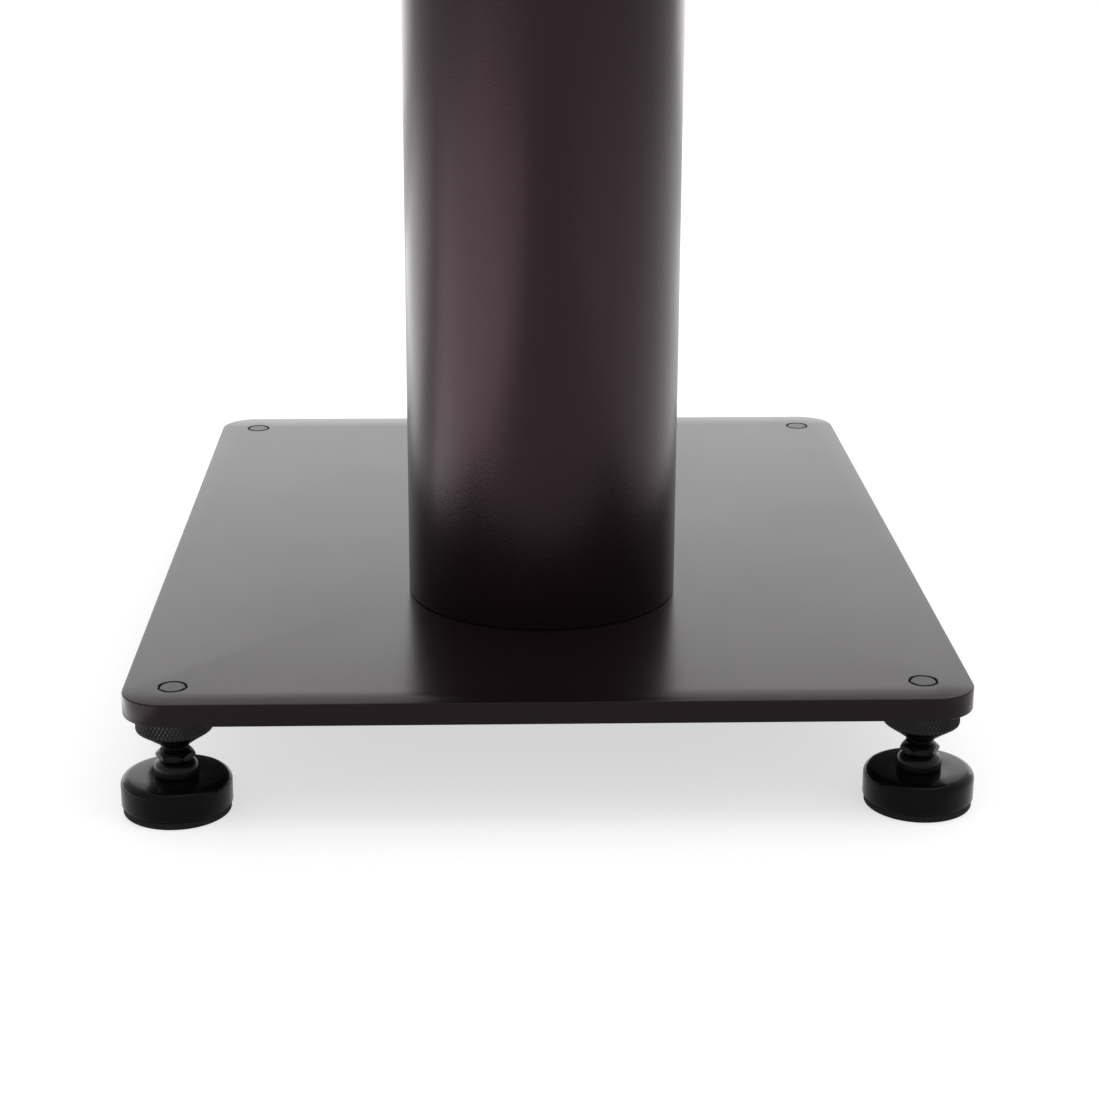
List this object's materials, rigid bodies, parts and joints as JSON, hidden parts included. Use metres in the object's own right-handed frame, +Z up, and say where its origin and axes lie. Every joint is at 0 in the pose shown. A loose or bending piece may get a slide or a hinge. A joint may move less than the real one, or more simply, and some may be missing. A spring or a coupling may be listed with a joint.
{
  "type": "speaker stand",
  "caption": "Floor stand with a round steel column set forward on a rounded rectangular base plate, a smaller top plate and levelling feet with knurled lock wheels and swivel discs.",
  "frame": {"origin": "on the floor, below the centre of the base plate", "axes": "+Z up; +Y towards the rear; +X to the right as seen from the front, where the column stands nearer the edge"},
  "size_m": [0.2964, 0.3704, 0.62],
  "materials": {
    "black_powder_coat": "satin fine-texture powder coat",
    "plain_steel": "turned, unpainted",
    "black_oxide_steel": "black oxide, oiled",
    "gloss_black_metal": "gloss black",
    "black_rubber": "matt"
  },
  "bodies": {
    "stand": {"base_plate": "black_powder_coat", "column_tube": "black_powder_coat", "lower_flange": "plain_steel", "upper_flange": "plain_steel", "base_screws": "black_oxide_steel", "top_plate": "black_powder_coat", "top_screws": "black_oxide_steel"},
    "front_left_stud": {"front_left_foot_stud": "black_oxide_steel"},
    "front_left_wheel": {"front_left_lock_wheel": "black_oxide_steel"},
    "front_left_foot": {"front_left_ball_retainer": "gloss_black_metal", "front_left_foot_disc": "gloss_black_metal", "front_left_foot_sole": "black_rubber"},
    "front_right_stud": {"front_right_foot_stud": "black_oxide_steel"},
    "front_right_wheel": {"front_right_lock_wheel": "black_oxide_steel"},
    "front_right_foot": {"front_right_ball_retainer": "gloss_black_metal", "front_right_foot_disc": "gloss_black_metal", "front_right_foot_sole": "black_rubber"},
    "rear_left_stud": {"rear_left_foot_stud": "black_oxide_steel"},
    "rear_left_wheel": {"rear_left_lock_wheel": "black_oxide_steel"},
    "rear_left_foot": {"rear_left_ball_retainer": "gloss_black_metal", "rear_left_foot_disc": "gloss_black_metal", "rear_left_foot_sole": "black_rubber"},
    "rear_right_stud": {"rear_right_foot_stud": "black_oxide_steel"},
    "rear_right_wheel": {"rear_right_lock_wheel": "black_oxide_steel"},
    "rear_right_foot": {"rear_right_ball_retainer": "gloss_black_metal", "rear_right_foot_disc": "gloss_black_metal", "rear_right_foot_sole": "black_rubber"}
  },
  "joints": [
    {"name": "front_left_height", "type": "slide", "parent": "stand", "child": "front_left_stud", "axis": [0, 0, 1], "range_m": [-0.004, 0.0025]},
    {"name": "front_left_wheel_spin", "type": "hinge", "parent": "stand", "child": "front_left_wheel", "pos_m": [-0.129, -0.166, 0.0312], "axis": [0, 0, 1], "continuous": true},
    {"name": "front_left_swivel", "type": "hinge", "parent": "front_left_stud", "child": "front_left_foot", "pos_m": [-0.129, -0.166, 0.014], "axis": [1, 0, 0], "range_deg": [-6, 6]},
    {"name": "front_right_height", "type": "slide", "parent": "stand", "child": "front_right_stud", "axis": [0, 0, 1], "range_m": [-0.004, 0.0025]},
    {"name": "front_right_wheel_spin", "type": "hinge", "parent": "stand", "child": "front_right_wheel", "pos_m": [0.129, -0.166, 0.0312], "axis": [0, 0, 1], "continuous": true},
    {"name": "front_right_swivel", "type": "hinge", "parent": "front_right_stud", "child": "front_right_foot", "pos_m": [0.129, -0.166, 0.014], "axis": [1, 0, 0], "range_deg": [-6, 6]},
    {"name": "rear_left_height", "type": "slide", "parent": "stand", "child": "rear_left_stud", "axis": [0, 0, 1], "range_m": [-0.004, 0.0025]},
    {"name": "rear_left_wheel_spin", "type": "hinge", "parent": "stand", "child": "rear_left_wheel", "pos_m": [-0.129, 0.166, 0.0312], "axis": [0, 0, 1], "continuous": true},
    {"name": "rear_left_swivel", "type": "hinge", "parent": "rear_left_stud", "child": "rear_left_foot", "pos_m": [-0.129, 0.166, 0.014], "axis": [1, 0, 0], "range_deg": [-6, 6]},
    {"name": "rear_right_height", "type": "slide", "parent": "stand", "child": "rear_right_stud", "axis": [0, 0, 1], "range_m": [-0.004, 0.0025]},
    {"name": "rear_right_wheel_spin", "type": "hinge", "parent": "stand", "child": "rear_right_wheel", "pos_m": [0.129, 0.166, 0.0312], "axis": [0, 0, 1], "continuous": true},
    {"name": "rear_right_swivel", "type": "hinge", "parent": "rear_right_stud", "child": "rear_right_foot", "pos_m": [0.129, 0.166, 0.014], "axis": [1, 0, 0], "range_deg": [-6, 6]}
  ]
}
